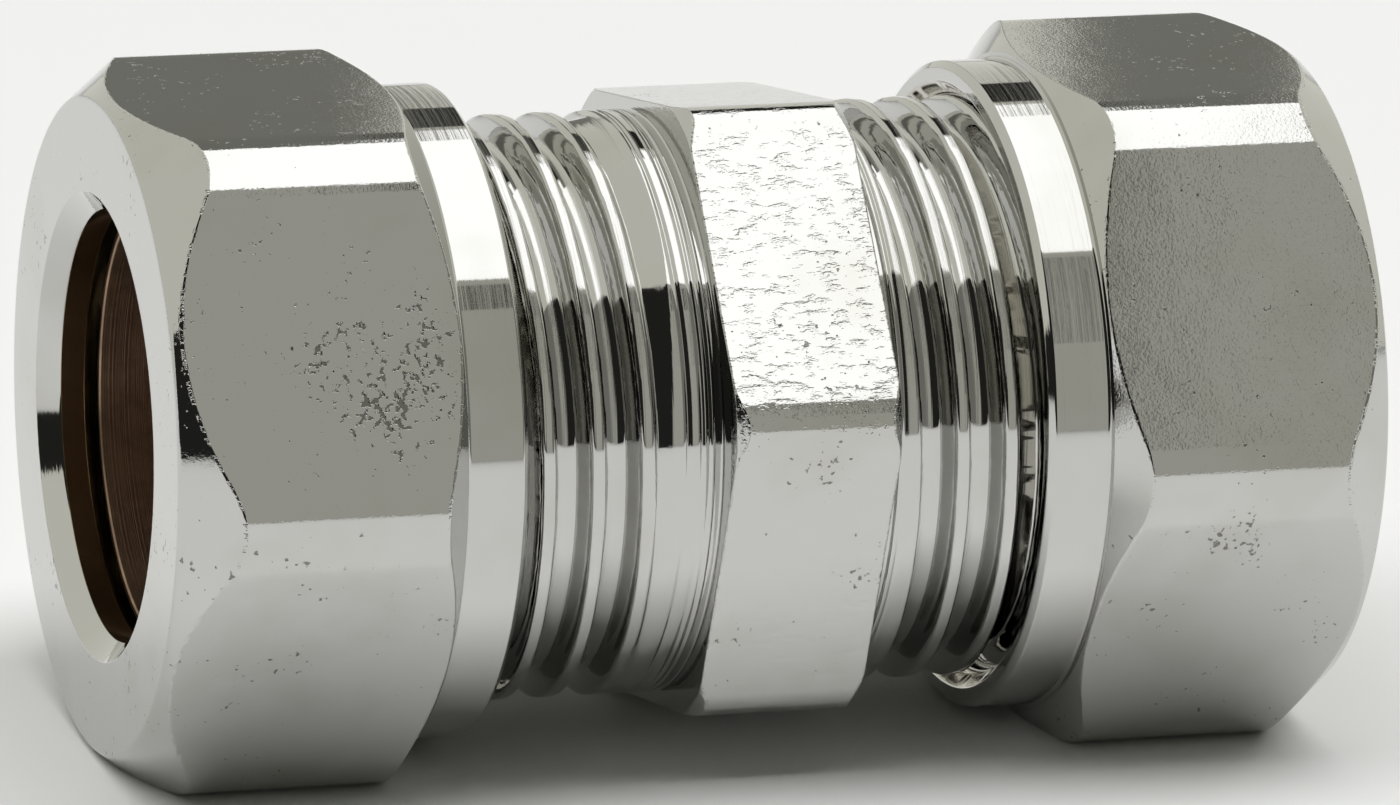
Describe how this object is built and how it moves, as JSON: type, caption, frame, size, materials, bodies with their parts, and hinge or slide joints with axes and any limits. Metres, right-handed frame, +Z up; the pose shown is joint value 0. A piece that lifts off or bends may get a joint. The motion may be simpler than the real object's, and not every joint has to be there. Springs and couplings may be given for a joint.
{
  "type": "straight compression coupling",
  "caption": "Straight compression coupling that joins two tubes end to end: a threaded body with a hexagon, two hexagonal nuts that screw onto it and an olive under each nut.",
  "frame": {"origin": "on the tube's axis, half way between the outer faces of the two nuts", "axes": "+X along the tube towards the right nut, +Z up from the nut flats that the fitting lies on, +Y away from the side that the picture shows"},
  "size_m": [0.0444, 0.0266, 0.024],
  "materials": {
    "body_chrome": "bright plating over cast and turned brass",
    "nut_chrome": "bright plating over turned brass, lightly pitted",
    "olive_brass": "bare, dull"
  },
  "bodies": {
    "body": {"body": "body_chrome"},
    "left olive": {"olive_left": "olive_brass"},
    "left nut": {"nut_left": "nut_chrome"},
    "right olive": {"olive_right": "olive_brass"},
    "right nut": {"nut_right": "nut_chrome"}
  },
  "joints": [
    {"name": "left_travel", "type": "slide", "parent": "body", "child": "left olive", "axis": [-1, 0, 0], "range_m": [-0.0019, 0.00364]},
    {"name": "left_turn", "type": "hinge", "parent": "left olive", "child": "left nut", "pos_m": [-0.0165, 0, 0], "axis": [-1, 0, 0], "range_deg": [-374, 720]},
    {"name": "right_travel", "type": "slide", "parent": "body", "child": "right olive", "axis": [1, 0, 0], "range_m": [0, 0.00545]},
    {"name": "right_turn", "type": "hinge", "parent": "right olive", "child": "right nut", "pos_m": [0.0165, 0, 0], "axis": [1, 0, 0], "range_deg": [0, 1080]}
  ],
  "couplings": [
    {"joint": "left_travel", "follows": "left_turn", "m_per_rad": 0.00028871},
    {"joint": "right_travel", "follows": "right_turn", "m_per_rad": 0.00028871}
  ]
}
